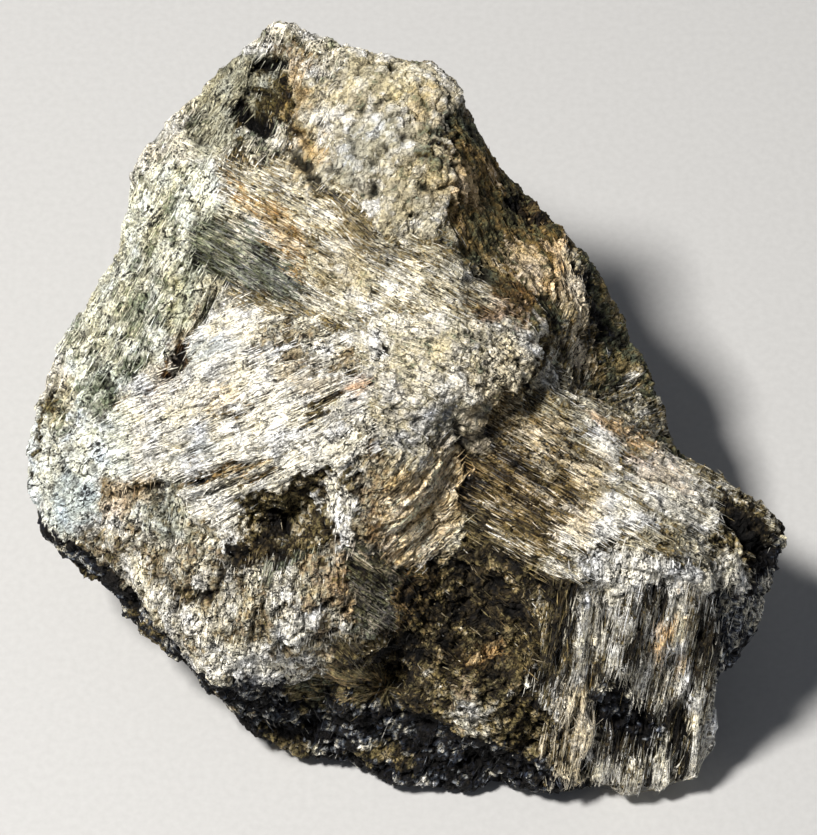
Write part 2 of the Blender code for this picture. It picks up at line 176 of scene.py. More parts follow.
# Smaller patches over the regions, from the first to the last.
patches = {
    "peakTop": ("beigeGrain", (-19, 59.5), (4, 2), -20, 60),
    "peakWest": ("greenRock", (-29, 50), (5, 3.4), 50, 50),
    "peakDark": ("shadowHollow", (-22, 57.4), (2.6, 1.3), -15, 60),
    "notchDark": ("shadowHollow", (-25.4, 48.6), (3.4, 1.7), -55, 60),
    "notchBlade": ("duskGrain", (-23.4, 53), (4.4, 1.4), 105, 100),
    "notchFoot": ("greenRock", (-24, 44.2), (3.4, 2.2), 0, 60),
    "plateGreen": ("paleLobe", (-14, 48), (6, 2.4), 80, 60),
    "plateCorner": ("duskGrain", (5.4, 42.6), (2.2, 3.2), 0, 60),
    "plateEast": ("creamKnobs", (6, 38), (5, 5.4), 70, -60),
    "brightPeak": ("whiteCrust", (-23.6, 60.4), (2.4, 1.2), 20, 60),
    "brightRidge": ("whiteCrust", (-34, 34), (7, 2.6), 75, 60),
    "ridgeWhite": ("whiteCrust", (-35.4, 43.4), (6, 1.6), -30, -25),
    "sweepGold": ("honeyTuft", (-24.6, 34.6), (8, 2), -30, -30),
    "sweepTan": ("tanFibre", (-9.4, 31.4), (7, 2.6), -55, -40),
    "sweepShade": ("steelFibre", (-26, 25), (9, 4.5), -30, -30),
    "sweepOchre": ("honeyTuft", (-19.4, 26.4), (3, 1.2), -45, -30),
    "sweepLow": ("paleLobe", (-7, 20.4), (5, 2.4), -30, -30),
    "creviceStain": ("rustStain", (-37.4, 8.6), (4.4, 0.9), 55, 60),
    "flankWhite": ("whiteCrust", (-47, 33), (5, 2), 72, 60),
    "flankPale": ("whiteCrust", (-56.4, 6.4), (5, 2.6), 66, 58),
    "flankKhaki": ("duskGrain", (-58.6, 1), (4.4, 1.2), 82, 70),
    "slopeTan": ("paleGrain", (-17, 12), (8, 3.2), -24, 24),
    "slopeDusk": ("tanFibre", (-12.6, 3), (3, 1.4), 25, 27),
    "slopeEast": ("whiteCrust", (-9, -3.6), (4, 5), 0, 45),
    "foldGrain": ("beigeGrain", (-5.6, -12), (3.4, 7.6), 10, 60),
    "wallLedge": ("duskGrain", (-4, -54.8), (6, 1.3), -8, 60),
    "slopeFootWhite": ("whiteFibre", (-18, -7.4), (7, 2.6), 20, 27),
    "honeyBand": ("honeyTuft", (-26.6, -8.4), (5.6, 2), 25, 27),
    "honeyFoot": ("whiteFibre", (-29, -13.4), (4, 2.4), 20, 27),
    "edgeBlack": ("shadowHollow", (19.6, 34.4), (2.4, 1.3), -55, -60),
    "spurLight": ("paleLobe", (19, 25), (5, 2.8), -40, -40),
    "spurCrest": ("foldFibre", (26.2, 22), (9, 1.9), -72, -75),
    "spurFoot": ("whiteCrust", (27.5, 12), (4, 2.4), -75, 65),
    "spurSlot": ("shadedSlateWall", (30.6, 17), (7, 1.1), -75, -75),
    "farRibs": ("silverFibre", (37.4, 1), (6, 3.2), -55, 20),
    "lobeOchre": ("whiteCrust", (14.5, 7), (5, 4.4), 60, -40),
    "lobeWhite": ("whiteCrust", (-4.5, 12), (4, 3), 30, -25),
    "lobeShade": ("hazePatch", (9.5, -2), (6, 3.5), -10, -30),
    "lobeSlot": ("umberShadeHollow", (20.6, 10.6), (5, 1.2), 76, -70),
    "underLobe": ("silverFibre", (15.5, -0.8), (5, 2.6), 40, -30),
    "lowerWhite": ("whiteCrust", (-28.6, -18.4), (3.6, 1.6), 45, 80),
    "lowerTan": ("paleGrain", (-20, -30), (6, 4), 70, 86),
    "lowerPale": ("whiteCrust", (-17, -33), (3.4, 2.6), 0, 80),
    "lowerRim": ("whiteCrust", (-41, -27), (8, 1.5), -40, 80),
    "rimFoot": ("whiteCrust", (-25, -39.6), (9, 3.2), -8, 80),
    "brokenDeep": ("shadowHollow", (-23, -19.4), (5.6, 3.4), 15, 80),
    "brokenFoot": ("steelFibre", (-20, -23.6), (4.4, 1.4), 35, 75),
    "brokenRim": ("whiteCrust", (-11, -15.6), (3, 6.4), 8, 80),
    "deepWest": ("shadowHollow", (-1.6, -38.6), (4.4, 7), 20, 60),
    "deepNorth": ("shadowHollow", (7.6, -31), (4, 2.4), -60, -40),
    "deepEast": ("shadowHollow", (14, -36), (2.6, 2), -40, -40),
    "deepSlot": ("shadowHollow", (19, -27.4), (3.4, 1.6), -70, -60),
    "orangeLedge": ("beigeGrain", (12, -38.6), (3.4, 1.8), 35, 60),
    "ledgeLight": ("beigeGrain", (9.6, -47.6), (5, 2.2), -50, -20),
    "ledgeDark": ("shadowHollow", (19.6, -46), (5, 1), 86, 80),
    "wallLight": ("duskGrain", (-42, -35.4), (5, 0.8), -45, 80),
    "footLedge": ("duskGrain", (-19.6, -53), (5.4, 1.6), -20, -50),
    "footGlint": ("beigeGrain", (-30, -47.6), (3, 0.8), -35, -50),
    "footEast": ("duskGrain", (-2, -55.6), (3.4, 1), -10, -60),
    "goldFan": ("goldFan", (-8.5, -41.5), (5.5, 4.5), 0, (-3.5, -43.5)),
    "shoulderWhite": ("whiteFibre", (31.4, -16.4), (7.4, 2.8), 12, -28),
    "shoulderPale": ("whiteFibre", (31, -5), (5.4, 2.2), -80, -28),
    "shoulderSilver": ("whiteFibre", (43, -11), (9, 4.4), -32, -28),
    "tipUmber": ("duskGrain", (53, -21.6), (5, 2), -30, -28),
    "tipHollow": ("shadowHollow", (56, -17.6), (6, 3.4), -40, -28),
    "tipFoot": ("shadedSlateWall", (57, -23), (5, 2), 50, 60),
    "sideLight": ("whiteCrust", (50.6, -26), (3.4, 2.4), 0, 78),
    "columnCap": ("whiteCrust", (36, -24.8), (11.6, 3.3), -8, 80),
    "capWest": ("silverFibre", (25, -23.6), (4.4, 2), -20, -28),
    "capDrip": ("whiteCrust", (27.6, -26.4), (2.6, 3.2), 0, 80),
    "capEast": ("whiteCrust", (48, -27), (3.4, 2), -30, 80),
    "columnPanel": ("tanFibre", (22.8, -34.6), (8.5, 2.6), 86, 81),
    "columnDusk": ("columnShade", (36.4, -35), (6.4, 2), 84, 81),
    "columnStreak": ("columnFibre", (41, -39), (6, 1.8), 81, 81),
    "columnRecess": ("columnShade", (37, -50), (7, 6.5), 0, 80),
    "recessDark": ("shadedSlateWall", (35, -47.6), (6, 4.4), -60, 80),
    "columnEast": ("columnShade", (46.6, -40), (11, 1.3), 84, 82),
    "columnFootLight": ("columnFibre", (26.5, -51), (7.5, 3.4), 84, 82),
}

# Stains over the patches, with a few painted shades and lights among them: middle, half sizes and
# turn as above, the colour the rock is multiplied by, and how strongly.
stains = {
    "amberLens": ((-16.8, 44.6), (2.6, 2.2), 0, (0.95, 0.72, 0.4), 0.8),
    "amberFoot": ((-16.4, 40.4), (2, 1.4), 0, (0.95, 0.75, 0.45), 0.6),
    "amberFleck": ((-17, 54), (1.6, 3.2), 0, (0.9, 0.68, 0.42), 0.6),
    "plateOchre": ((3.4, 50.5), (3, 2), 60, (0.95, 0.8, 0.55), 0.5),
    "flankCool": ((-44, 22), (21, 10), 66, (0.97, 1.02, 0.98), 0.9),
    "tipCool": ((-54, -5), (13, 9), 60, (0.94, 1.0, 1.02), 0.9),
    "crevice": ((-36, 11.4), (8.4, 1.0), 60, (0.74, 0.58, 0.42), 0.7),
    "peakOlive": ((-27.6, 51), (12, 5.6), 55, (0.5, 0.5, 0.4), 0.9),
    "flankOlive": ((-32.6, 22.5), (12, 4.2), 72, (0.64, 0.64, 0.54), 0.85),
    "tipGrey": ((-54.6, -14), (5, 4), 0, (0.62, 0.67, 0.7), 0.8),
    "slopeUmber": ((-17, 6), (3.4, 2.6), 0, (0.68, 0.6, 0.46), 0.8),
    "sweepDusk": ((-11, 25), (3.6, 3), 0, (0.72, 0.67, 0.56), 0.7),
    "foldWest": ((-4.5, -8), (3, 4), 50, (0.85, 0.78, 0.66), 0.8),
    "foldFoot": ((-5, -19.6), (3, 3), 0, (0.72, 0.66, 0.56), 0.8),
    "trenchTan": ((-17.5, 51), (3.4, 5), 0, (0.76, 0.7, 0.55), 0.8),
    "lobeCream": ((14.5, 6), (5, 5), 60, (0.95, 0.87, 0.7), 0.8),
    "plateTan": ((7, 38), (5, 5), 70, (0.95, 0.85, 0.66), 0.6),
    "spurTan": ((27, 18), (13, 4), -75, (0.95, 0.83, 0.64), 0.8),
    "hollowBrown": ((16, 32), (14, 7), -58, (1.05, 0.88, 0.68), 0.8),
    "umberEdge": ((17, 18.6), (4.4, 3.4), 0, (0.6, 0.42, 0.3), 0.8),
    # partly the fold's tan, partly painted light: paler to make up for the fold facing away from
    # the key light
    "foldTanLight": ((3, -14), (10, 6), 50, (1.2, 1.06, 0.87), 0.9),
    "facetGrey": ((-38.5, -15.5), (4, 5.5), 0, (0.76, 0.79, 0.75), 0.8),
    "innerBrown": ((19, -8), (13, 9), -40, (0.84, 0.75, 0.63), 0.8),
    "plateYellow": ((-4, 54), (8, 3), -20, (1.0, 0.95, 0.74), 0.5),
    "plateGrey": ((-6, 42.5), (6, 3.4), 70, (0.72, 0.76, 0.8), 0.7),
    "plateLow": ((0, 35), (6, 3.4), 70, (0.92, 0.87, 0.72), 0.5),
    "hazeHigh": ((-32.5, 10), (3.5, 1.6), 30, (0.62, 0.68, 0.75), 0.7),
    "hazeLow": ((-33.5, -4), (3, 1.6), 20, (0.6, 0.65, 0.72), 0.7),
    "lowerHaze": ((-37.6, -16), (4, 3.4), 0, (0.7, 0.75, 0.78), 0.6),
    "honeyMark": ((-28.8, 2.8), (3.4, 1.8), 25, (1.0, 0.82, 0.5), 0.6),
    "slopeRust": ((-9.4, 5.4), (1.8, 1.4), 0, (0.8, 0.5, 0.28), 0.7),
    "brownFleck": ((-45, -13.4), (5, 3.2), 20, (0.8, 0.64, 0.46), 0.7),
    # painted shade over the broken hollow
    "brokenHollowShade": ((-23.7, -19.8), (3.8, 3), 0, (0.45, 0.42, 0.38), 0.8),
    "footBrown": ((-56, 4), (3.4, 1.6), 80, (0.75, 0.62, 0.38), 0.6),
    "sweepIron": ((-21, 30), (6, 1.6), -35, (0.95, 0.75, 0.48), 0.7),
    "shoulderIron": ((34, -2.4), (4.5, 1.1), -30, (1.0, 0.68, 0.36), 0.7),
    "shoulderRose": ((40, -8), (5, 2.4), -30, (0.95, 0.82, 0.7), 0.6),
    "fanBrown": ((-5, -27), (8, 6), 0, (1.08, 0.95, 0.82), 0.9),
    "ledgeOrange": ((12, -38.6), (4, 2.4), 35, (1.0, 0.74, 0.42), 0.9),
    "columnFoot": ((26.5, -50), (9, 4.4), 84, (0.88, 0.8, 0.66), 0.8),
    "columnIron": ((41.6, -36), (4.4, 0.9), 81, (0.95, 0.66, 0.34), 0.8),
}

# The sides and the back: kind, middle (x, y, z) in the stone's own frame and reach, in mm, and
# the way the strands run.
hiddenRegions = {
    "backMiddle": ("greenRock", (-14, 56, 42), 24, (0.3, 0, 1)),
    "backTop": ("beigeGrain", (2, 54, 62), 15, (1, 0, 0.3)),
    "backFoot": ("duskGrain", (-8, 48, 12), 22, (1, 0, 0.2)),
    "backFibre": ("silverFibre", (12, 50, 30), 16, (-0.35, 0.2, 1)),
    "rightBack": ("oliveRock", (30, 34, 34), 20, (0.5, -0.5, 0.8)),
    "rightFoot": ("greenRock", (42, 10, 12), 20, (0.6, -0.8, 0.1)),
    "rightEnd": ("shadedSlateSide", (52, -14, 18), 15, (0, 0.2, 1)),
    "leftBack": ("paleLobe", (-42, 36, 42), 20, (0.3, 0.3, 1)),
    "leftBackFoot": ("oliveRock", (-42, 26, 14), 20, (0.8, 0.6, 0.3)),
    "leftBelow": ("duskGrain", (-48, 0, 16), 17, (0.3, 0.2, 1)),
    "frontBelow": ("shadedSlateWall", (0, -38, 3), 20, (0.2, -0.2, 1)),
    "restingFace": ("oliveRock", (2, 4, 0), 42, (1, 0.3, 0)),
}

# Seams on the face: path, half width and rise in mm. Cracks have a rise below 0 and blades
# stand out.
seams = {
    "peakPit": (((-24.5, 58), (-20, 56.8)), 1.7, -2.4),
    "notchPit": (((-28, 50.2), (-25.5, 48.6), (-23.3, 46.4)), 1.9, -2.4),
    "plateCrack": (((7, 47.8), (8, 45.4), (7.4, 42.4)), 0.6, -1.0),
    "plateFoot": (((-18, 41), (-10.5, 34), (-5.6, 27)), 1.1, -0.9),
    "ridgeFoot": (((-33.6, 33.4), (-34.6, 27.4), (-33, 22.5)), 1.0, -0.9),
    "flankCrevice": (((-30.8, 19.6), (-34.6, 12.6), (-39.4, 5.8)), 1.0, -1.1),
    "lobeFoot": (((-2, -2.6), (5, -5.2), (10, -3.6), (17.6, 1), (20.4, 8), (20.8, 13)),
                 0.8, -0.4),
    "foldCrease": (((7.4, -1.5), (9.4, -8.5), (10.6, -16.5), (14.6, -23), (21, -27)), 1.0, -0.8),
    "bladeUpper": (((-34, -8.6), (-29, -6.6), (-24.6, -5.2)), 0.9, 1.7),
    "bladeMiddle": (((-31.4, -9.8), (-27, -8.2), (-22.6, -7)), 0.8, 1.6),
    "bladeLower": (((-34.6, -12.6), (-30.4, -11), (-25.6, -9.6)), 0.9, 1.7),
    "bladeShort": (((-30.6, -13.2), (-27.6, -12.2), (-25, -11.6)), 0.8, 1.4),
    "bladeCrack": (((-33.8, -10.4), (-30.6, -9), (-26.4, -7.5)), 0.7, -1.5),
    "bladeGap": (((-31, -12.2), (-27, -10.6), (-22, -8.8)), 0.7, -1.5),
    "bladeFar": (((-20.6, 3), (-15.4, 5.2), (-11, 6.2)), 1.4, 1.3),
    "bladeLeft": (((-45, -6.6), (-39.4, -3.6), (-36, -2.6)), 1.4, 1.3),
    "bladeHigh": (((-31.6, 6.6), (-27.4, 8.8), (-23, 10)), 1.3, 1.3),
    "slopeCrack": (((-14.8, 8.6), (-13, 3), (-16.4, -2), (-14, -7)), 0.7, -0.6),
    "slopeFoot": (((-46, -12.4), (-37, -10.6), (-30, -9.6)), 0.9, -0.9),
    "lowerFold": (((-15.6, -21), (-17.6, -27), (-16.6, -33)), 0.8, -0.6),
    "lowerStep": (((-28, -22), (-32, -28), (-38, -31)), 1.2, -0.9),
    "tipPit": (((51, -16.4), (54.4, -18.8), (57.8, -21.8)), 2.3, -2.2),
    "capLight": (((26, -24.6), (34, -22.8), (42, -23.8), (47, -26.4)), 1.5, 1.1),
    "capEdge": (((22, -28.6), (28, -27.6), (36, -27.6), (45, -30)), 0.7, -0.4),
    "columnStep": (((21.4, -41), (26.6, -43.4), (32.6, -41), (37.4, -42.4)), 0.9, -0.7),
    "columnLeft": (((26.4, -27.4), (24.6, -34), (23, -40)), 0.8, -1.1),
    "columnGroove": (((31, -45.4), (30, -52), (28.8, -58.6)), 0.9, -1.3),
    "columnMiddle": (((40.4, -27), (39.4, -35), (38.2, -44)), 0.7, -0.9),
    "columnRight": (((46.4, -29), (45.2, -44), (43, -57)), 0.9, -1.2),
}

skinSet = {
    "pitch": 1.4,         # mm between points before the skin is made finer
    "rounding": 2,        # passes that take the flats off the CAD facets
    "openFrom": 0.05,     # how far a face turns to the open side before it is made finer again
    "probe": 2,           # mm round a region's middle where its surface is felt for its lean
    "depth": 24,          # mm that a region reaches into and out of the face
    "stainDepth": 90,     # stains reach right through
    "ragged": ((7, 2.0), (2.1, 1.0), (0.7, 0.8)),  # size and reach of the regions' ragged edges
    "mixed": (1.3, 1.6),  # size and reach of the grains that regions lend each other
    "blend": 1.1,         # how sharply one region's traits give way to the next, per mm
    "patchEdge": (0.9, -0.7),  # mm outside its edge where a patch starts and where it is whole
    "stainEdge": (1.4, -1.2),  # the same for a stain
    "seamWander": 0.35,   # share of the ragged edges' reach that seams follow
    # patches fray along their strands by this size along, across and deep, or by grains of the
    # second size where there are no strands; the third is how far, all in mm
    "fray": ((4.5, 0.7, 2.5), 1.6, 2.2),
    # size along, across and deep, and height in mm, of what the rock breaks into
    "planks": (((17, 3.0, 7), 1.25), ((7, 1.25, 3.5), 0.65)),
    "chips": ((5.5, 1.3), (2.2, 0.6)),
    "groove": ((0.16, 0.5), (0.12, 0.4)),  # width and depth of the cracks round planks and chips
    "tilt": 1.1,          # how far a chip's top leans, as a share of its height
    # size and height or depth in mm of the finer forms
    "pit": (1.8, 0.9),
    "knob": (2.3, 0.6),
    "ridge": ((4, 0.5, 2.5), 0.17),
    "grain": (0.85, 0.26),
    "swell": (8, 0.7),
}


def readNumbers(source, name, width, kind=np.float32):
    values = np.empty(len(source) * width, kind)
    source.foreach_get(name, values)
    return values.reshape(-1, width) if width > 1 else values


def noiseAt(places, size, shift=0.0):
    # smooth noise from about -1 to 1, one swell per size; a shift of its own keeps each
    # pattern from repeating another
    return np.array([noise.noise(p) for p in (places / size + shift).tolist()]) * 1.6


def roughAt(places, size, shift=0.0):
    # rougher noise from about -1 to 1, with finer swells on the broad ones
    return np.array([noise.fractal(p, 0.8, 2.1, 4) for p in (places / size + shift).tolist()])


def cellsAt(places, size, shift=0.0):
    # what the places break into: each one's own three chance numbers, the way from its
    # middle, and how near the crack to the next one is, all in cell sizes
    scaled = places / size + shift
    found = [noise.voronoi(p) for p in scaled.tolist()]
    reach = np.array([distances[:2] for distances, middles in found])
    middle = np.array([middles[0][:] for distances, middles in found])
    mixing = ((12.9, 39.3, 73.1), (78.2, 11.1, 52.2), (37.7, 83.2, 9.1))  # any uneven numbers
    chance = np.modf(np.abs(np.sin(middle @ mixing)) * 4375.8)[0]
    return chance, scaled - middle, reach[:, 1] - reach[:, 0]


def smoothStep(low, high, value):
    t = np.clip((value - low) / (high - low), 0, 1)
    return t * t * (3 - 2 * t)


def unit(vectors, least=1e-12):
    # each vector at a length of one; least keeps a vector of no length from dividing by zero
    return vectors / (np.linalg.norm(vectors, axis=-1, keepdims=True) + least)


def linkPiece(name, data):
    item = bpy.data.objects.new(name, data)
    bpy.context.scene.collection.objects.link(item)
    return item


def meshFrom(shape, name):
    mesh = bpy.data.meshes.new(name)
    shape.to_mesh(mesh)
    shape.free()
    return mesh


def insideBox(points):
    return np.clip(points, *(np.array(corner) for corner in cadBox))


def asArrays(shape):
    # a small bmesh as points and triangles, done with after that
    points = np.array([v.co[:] for v in shape.verts])
    triangles = np.array([[v.index for v in f.verts] for f in shape.faces])
    shape.free()
    return points, triangles


def evenSkin():
    # the CAD stone evened out, then made finer, most of all on the open face
    skin = bmesh.new()
    skin.from_mesh(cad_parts["chrysotile"].data)
    bmesh.ops.remove_doubles(skin, verts=skin.verts, dist=1e-6)
    holder = linkPiece("holder", meshFrom(skin, "holder"))
    remesh = holder.modifiers.new("even", "REMESH")
    remesh.mode = "VOXEL"
    remesh.voxel_size = skinSet["pitch"] * mm
    soften = holder.modifiers.new("soften", "SMOOTH")
    soften.iterations = skinSet["rounding"]
    finer = holder.modifiers.new("finer", "SUBSURF")
    finer.levels = finer.render_levels = 1
    seen = holder.evaluated_get(bpy.context.evaluated_depsgraph_get())
    even = bpy.data.meshes.new_from_object(seen)
    bpy.data.objects.remove(holder)

    skin = bmesh.new()
    skin.from_mesh(even)
    skin.normal_update()
    outward = Vector(faceTurn[:, 2])
    isOpen = skin.faces.layers.int.new("open")
    openFaces = [f for f in skin.faces if f.normal.dot(outward) > skinSet["openFrom"]]
    for face in openFaces:
        face[isOpen] = 1
    openEdges = {e for f in openFaces for e in f.edges}
    bmesh.ops.subdivide_edges(skin, edges=list(openEdges), cuts=1, use_grid_fill=True)
    bmesh.ops.triangulate(skin, faces=[f for f in skin.faces if len(f.verts) > 4])
    bmesh.ops.smooth_vert(skin, verts=skin.verts, factor=0.5,
                          use_axis_x=True, use_axis_y=True, use_axis_z=True)
    skin.to_mesh(even)
    skin.free()
    print("skin: even mesh of", len(even.vertices), "points")
    return even


def placeRegions(mesh):
    # each region's place, its own frame (along, across, out) and its sizes, on the real surface
    tree = BVHTree.FromPolygons(toFace(readNumbers(mesh.vertices, "co", 3)).tolist(),
                                [list(p.vertices) for p in mesh.polygons])
    side = skinSet["probe"]
    placed = {}
    for name, (kind, (u, v), half, turn, fibre) in (regions | patches).items():
        hits = []
        for du, dv in ((0, 0), (side, 0), (-side, 0), (0, side), (0, -side)):
            hit = tree.ray_cast(Vector((u + du, v + dv, 90)), Vector((0, 0, -1)))
            if hit[0] is None:  # off the stone's edge, so the nearest of its rim
                hit = tree.find_nearest(Vector((u + du, v + dv, -12)))
            hits.append(hit)
        fan = fibre if isinstance(fibre, tuple) else None
        lie = math.radians(0 if fan else fibre)
        placed[name] = {"kind": kind, "at": np.array(hits[0][0]),
                        "half": half + (skinSet["depth"],), "turn": math.radians(turn),
                        "axis": np.array((math.cos(lie), math.sin(lie), 0)),
                        "normal": np.array(sum((hit[1] for hit in hits), Vector()).normalized()),
                        "fan": fan and np.array((*fan, hits[0][0].z))}
    for name, (kind, at, reach, axis) in hiddenRegions.items():
        hit, normal, _, _ = tree.find_nearest(Vector(toFace(np.array(at) * mm)))
        axis = np.array(Vector(np.array(axis) @ faceTurn).normalized())
        placed[name] = {"kind": kind, "at": np.array(hit), "half": (reach,) * 3, "turn": 0,
                        "axis": axis, "normal": np.array(normal), "fan": None}
    for region in placed.values():
        along = slideAlong(region["axis"], region["normal"])
        region["frame"] = np.array((along, np.cross(region["normal"], along), region["normal"]))
    return placed


def slideAlong(axis, normal):
    # the axis laid on a surface so that it still points the same way as seen square to the
    # face; where the surface is too steep for that, laid down along the surface's normal
    lean = np.clip(normal[..., 2:], 0.3, 1)
    slid = axis - (axis * normal).sum(-1, keepdims=True) / lean * (0, 0, 1)
    slid = np.where(normal[..., 2:] > 0.1, slid, axis)
    slid = slid - normal * (slid * normal).sum(-1, keepdims=True)
    return unit(slid, 1e-9)


def edgeDistance(region, places):
    # mm outside a region's edge, less than 0 inside
    off = places - region["at"]
    c, s = math.cos(region["turn"]), math.sin(region["turn"])
    a, b, depth = region["half"]
    x = (off[:, 0] * c + off[:, 1] * s) / a
    y = (off[:, 1] * c - off[:, 0] * s) / b
    return (np.sqrt(x * x + y * y + (off[:, 2] / depth) ** 2) - 1) * math.sqrt(a * b)


def strandFrame(region, places):
    # along, across and out coordinates in mm, and the way the strands run, at each place
    if region["fan"] is None:
        return places @ region["frame"].T, np.tile(region["axis"], (len(places), 1))
    off = places - region["fan"]
    reach = np.hypot(off[:, 0], off[:, 1]) + 0.01
    around = np.arctan2(off[:, 1], -off[:, 0])
    return (np.stack((reach, around * 5, off[:, 2]), 1),
            np.stack((off[:, 0] / reach, off[:, 1] / reach, 0 * reach), 1))


def surveySkin(places, placed):
    # for each place: its kind of surface, its own strand frame and its surface's character
    ragged = places.copy()
    for i, (size, reach) in enumerate(skinSet["ragged"]):
        shifts = (17.7 * i + shift for shift in (3, 5, 9))
        ragged += reach * np.stack([noiseAt(places, size, shift) for shift in shifts], 1)
    big = [name for name in placed if name not in patches]
    nearness = np.stack([edgeDistance(placed[name], ragged) for name in big], 1)
    mixed = skinSet["mixed"][1] * roughAt(places, skinSet["mixed"][0], 9.1)
    nearness += mixed[:, None] * np.cos(2.4 * np.arange(len(big)))  # some gain where others lose
    share = np.exp(-(nearness - nearness.min(1)[:, None]) * skinSet["blend"])
    share /= share.sum(1)[:, None]
    owner = nearness.argmin(1)
    survey = {"own": np.zeros_like(places), "axis": np.zeros_like(places),
              "kind": np.zeros(len(places), int), "seam": np.zeros(len(places))}
    for i, key in enumerate(traits, 1):
        survey[key] = share @ np.array([kinds[placed[name]["kind"]][i] for name in big])
    for i, name in enumerate(big):
        mine = owner == i
        survey["own"][mine], survey["axis"][mine] = strandFrame(placed[name], places[mine])
        survey["kind"][mine] = kindNames.index(placed[name]["kind"])
    size, fine, reach = skinSet["fray"]
    fray = reach * survey["silky"] * roughAt(survey["own"] / size, 1, 3.7)
    fray += reach * (1 - survey["silky"]) * roughAt(places, fine, 8.2)
    for name in patches:
        region = placed[name]
        edge = edgeDistance(region, ragged) + fray
        mine = edge < 0
        survey["own"][mine], survey["axis"][mine] = strandFrame(region, places[mine])
        survey["kind"][mine] = kindNames.index(region["kind"])
        over = smoothStep(*skinSet["patchEdge"], edge)
        for i, key in enumerate(traits, 1):
            survey[key] += (kinds[region["kind"]][i] - survey[key]) * over
    # stains, and a few painted shades and lights, as colour multipliers
    survey["stain"] = np.ones_like(places)
    for at, half, turn, colour, strength in stains.values():
        region = {"at": np.array((*at, 0)), "half": half + (skinSet["stainDepth"],),
                  "turn": math.radians(turn)}
        edge = edgeDistance(region, ragged) + fray
        over = strength * smoothStep(*skinSet["stainEdge"], edge)[:, None]
        survey["stain"] *= 1 + (np.array(colour) - 1) * over
    wavy = places[:, :2] + (ragged - places)[:, :2] * skinSet["seamWander"]
    for path, width, rise in seams.values():
        away = np.full(len(places), 99.0)
        for start, end in zip(path, path[1:]):
            start, run = np.array(start), np.subtract(end, start)
            part = np.clip((wavy - start) @ run / (run @ run), 0, 1)[:, None]
            away = np.minimum(away, np.linalg.norm(wavy - start - part * run, axis=1))
        survey["seam"] += rise * smoothStep(width, 0.15 * width, away)
    return survey


def breakUp(places, size, shift, groove):
    # how far each broken piece stands out, as a share of its height, and its chance paleness
    chance, off, crack = cellsAt(places, size, shift)
    lean = skinSet["tilt"] * (off * (chance - 0.5)).sum(1)
    width, depth = groove
    return chance[:, 0] - 0.5 + lean - depth * smoothStep(width, 0, crack), chance[:, 1] - 0.5


def brokenRelief(places, survey):
    # mm that ledges, planks, chips and pits stand out, and each place's chance paleness
    silky = survey["silky"]
    jog = 0.5 * np.stack([noiseAt(places, 1.3, shift) for shift in (2.2, 4.4, 6.6)], 1)
    size, rise = skinSet["swell"]
    height = rise * roughAt(places, size, 12.9)
    luck = np.zeros(len(places))
    plankGroove, chipGroove = skinSet["groove"]
    drawn = survey["own"].copy()
    drawn[:, 0] /= np.maximum(survey["long"], 0.8)  # long splinters break into long planks
    for i, (size, rise) in enumerate(skinSet["planks"]):
        step, pale = breakUp(drawn + jog * (1.6, 0.5, 0.5), size, 4.1 * i, plankGroove)
        height += silky * rise * (0.25 + survey["grit"]) * (0.6 + 0.4 * survey["long"]) * step
        luck += silky * (0.22 + 0.26 * i) * (0.7 + 0.3 * survey["long"]) * pale
    for i, (size, rise) in enumerate(skinSet["chips"]):
        step, pale = breakUp(places + jog * (1.5 - 0.6 * i), size, 8.3 + 4.1 * i, chipGroove)
        height += (1 - 0.8 * silky) * (0.2 + 0.8 * survey["grit"]) * rise * step
        luck += (1 - silky) * (0.25 + 0.25 * i) * pale
    size, depth = skinSet["pit"]
    height -= depth * survey["pit"] * smoothStep(0.3, 0.7, noiseAt(places, size, 52.3))
    return height, luck


def fineRelief(places, survey):
    # mm that knobs, the ridges between strands and grains stand out
    silky = survey["silky"]
    size, rise = skinSet["knob"]
    chance, off, crack = cellsAt(places, size, 21.3)
    fine = rise * survey["knob"] * (0.4 * chance[:, 0] + 0.6 - 1.6 * (off * off).sum(1))
    size, rise = skinSet["ridge"]
    fine += rise * silky * (0.6 - 2.2 * np.abs(noiseAt(survey["own"] / size, 1, 7.7)) / 1.6)
    size, rise = skinSet["grain"]
    return fine + rise * survey["grit"] * (1 - 0.6 * silky) * roughAt(places, size, 31.7)


def stand(mesh, points, height):
    # moves the points out along the skin; the resting face stays level
    normals = readNumbers(mesh.vertex_normals, "vector", 3).astype(float)
    level = smoothStep(0.0, 1.2 * mm, points[:, 2])
    points = insideBox(points + normals * (height * level * mm)[:, None])
    mesh.vertices.foreach_set("co", points.astype(np.float32).ravel())
    mesh.update()
    return points


toneSet = {
    "middle": 0.52,          # paleness of flat clean rock, from 0 darkest to 1 palest
    "swell": (5.5, 0.28),    # size in mm and strength of pale and dark patches
    "salt": (0.9, 0.08, 0.2),  # size of the grains, strength, and what grit adds to it
    "raisedLight": 0.22,          # painted light and shade: how much paler high places are and darker low ones
    "blade": 0.25,           # how much paler the blades that stand out are, a painted highlight on them
    "recessShade": (-0.75, 0.15, 0.1),  # painted shade in low places and cracks: depth where it is whole and where it ends; share of colour it leaves
    "warmth": (4.2, (0.07, 0.02, -0.13)),  # iron stain here, grey serpentine there
}


def coloursFor(kind, paleness):
    # a kind's colours run from its darkest at 0 to its palest at 1
    picked = np.empty((len(paleness), 3))
    for k in np.unique(kind):
        words = [(word.split("*") + ["1"])[:2] for word in kinds[kindNames[k]][0].split()]
        palette = [shades[word] for word, times in words for _ in range(int(times))]
        palette.sort(key=sum)
        palette = np.array(palette + palette[-1:])
        place = np.clip(paleness[kind == k], 0, 1) * (len(palette) - 2)
        below = place.astype(int)
        part = (place - below)[:, None]
        picked[kind == k] = palette[below] * (1 - part) + palette[below + 1] * part
    return picked


